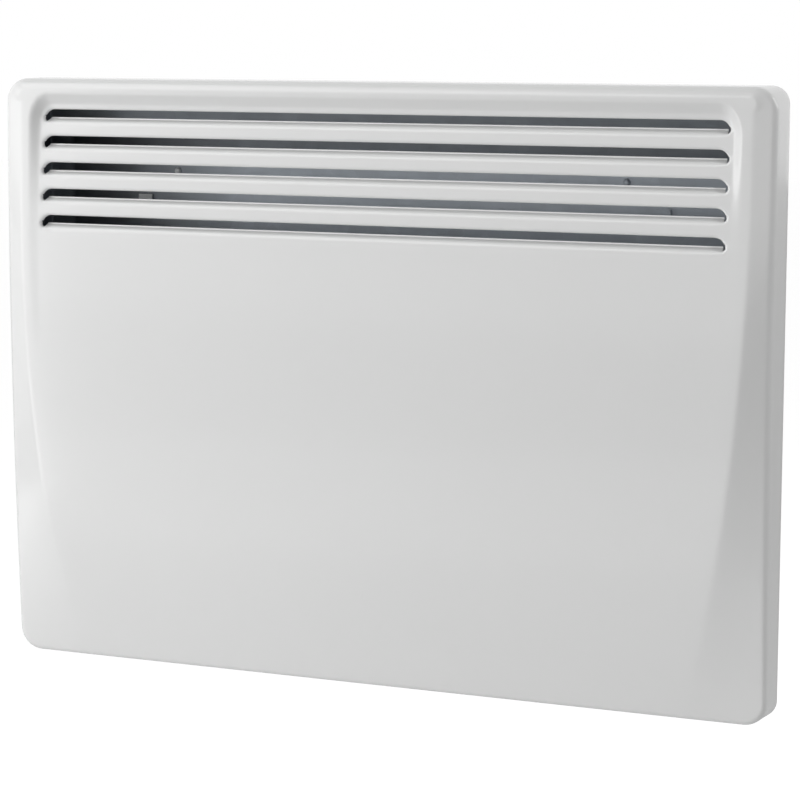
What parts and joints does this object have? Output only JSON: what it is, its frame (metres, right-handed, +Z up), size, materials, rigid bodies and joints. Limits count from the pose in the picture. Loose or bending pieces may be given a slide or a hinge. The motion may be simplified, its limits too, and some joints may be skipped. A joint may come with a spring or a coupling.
{
  "type": "wall panel convector heater",
  "caption": "Slim wall-hung convector heater with a bowed, louvred steel front, finned element, bottom controls and a sprung two-channel wall bracket.",
  "frame": {"origin": "middle of the bracket rail's back face, which lies on the wall", "axes": "+X to the right seen from the front, +Y into the wall, +Z up"},
  "size_m": [0.54, 0.0839, 0.402],
  "materials": {
    "cover_paint": "white semi-gloss powder coat",
    "galvanised_sheet": "spangled zinc coating",
    "fin_aluminium": "extruded, satin",
    "sheath_steel": "dull, heat-tinted",
    "spring_steel": "bright drawn wire",
    "zinc_fastener": "bright zinc plate",
    "brass": "plain",
    "white_plastic": "moulded, satin",
    "grey_plastic": "moulded, matt",
    "black_plastic": "moulded, matt",
    "amber_lens": "clear moulded",
    "silicone": "moulded",
    "ceramic": "unglazed steatite",
    "wire_white": "silicone insulation",
    "wire_grey": "silicone insulation",
    "wire_earth": "green and yellow insulation"
  },
  "bodies": {
    "heater": {"front_cover": "cover_paint", "cover_screw_1": "zinc_fastener", "cover_screw_2": "zinc_fastener", "cover_screw_3": "zinc_fastener", "cover_screw_4": "zinc_fastener", "rear_casing": "galvanised_sheet", "bracket_upright_left": "galvanised_sheet", "bracket_upright_right": "galvanised_sheet", "bracket_rail": "galvanised_sheet", "bracket_rivet_1": "zinc_fastener", "bracket_rivet_2": "zinc_fastener", "bracket_rivet_3": "zinc_fastener", "bracket_rivet_4": "zinc_fastener", "element_fins": "fin_aluminium", "element_sheath": "sheath_steel", "element_bush_left": "silicone", "element_bracket_left": "galvanised_sheet", "element_insulator_left": "ceramic", "element_pin_left": "brass", "element_bush_right": "silicone", "element_bracket_right": "galvanised_sheet", "element_insulator_right": "ceramic", "element_pin_right": "brass", "element_rivet_1": "zinc_fastener", "element_rivet_2": "zinc_fastener", "element_rivet_3": "zinc_fastener", "element_rivet_4": "zinc_fastener", "heat_shield": "galvanised_sheet", "shield_screw_1": "zinc_fastener", "shield_screw_2": "zinc_fastener", "shield_screw_3": "zinc_fastener", "shield_screw_4": "zinc_fastener", "thermal_cutout": "black_plastic", "cutout_rivet_1": "zinc_fastener", "cutout_rivet_2": "zinc_fastener", "control_housing": "grey_plastic", "control_lid": "grey_plastic", "control_bezel": "white_plastic", "thermostat_body": "black_plastic", "switch_frame": "black_plastic", "pilot_lamp": "amber_lens", "terminal_block": "ceramic", "cable_gland": "grey_plastic", "gland_nut": "grey_plastic", "sensor_bulb": "brass", "sensor_clip": "white_plastic", "sensor_capillary": "brass", "wire_element_right": "wire_white", "wire_element_left": "wire_white", "wire_cutout_1": "wire_grey", "wire_cutout_2": "wire_grey", "wire_earth": "wire_earth", "earth_lead": "wire_earth"},
    "thermostat_dial": {"thermostat_knob": "white_plastic", "thermostat_shaft": "brass"},
    "power_rocker": {"power_rocker": "black_plastic"},
    "catch_left": {"catch_left": "grey_plastic", "catch_spring_left": "spring_steel"},
    "catch_right": {"catch_right": "grey_plastic", "catch_spring_right": "spring_steel"}
  },
  "joints": [
    {"name": "dial_turn", "type": "hinge", "parent": "heater", "child": "thermostat_dial", "pos_m": [0.225, -0.0475, -0.198], "axis": [0, 0, 1], "range_deg": [0, 270]},
    {"name": "switch_rock", "type": "hinge", "parent": "heater", "child": "power_rocker", "pos_m": [0.1875, -0.0475, -0.1965], "axis": [0, 1, 0], "range_deg": [-16, 0]},
    {"name": "catch_press_left", "type": "slide", "parent": "heater", "child": "catch_left", "axis": [0, 0, 1], "range_m": [-0.005, 0], "stiffness_N_per_m": 300, "springref_m": 0.02, "deforming": ["catch_spring_left"]},
    {"name": "catch_press_right", "type": "slide", "parent": "heater", "child": "catch_right", "axis": [0, 0, 1], "range_m": [-0.005, 0], "stiffness_N_per_m": 300, "springref_m": 0.02, "deforming": ["catch_spring_right"]}
  ]
}
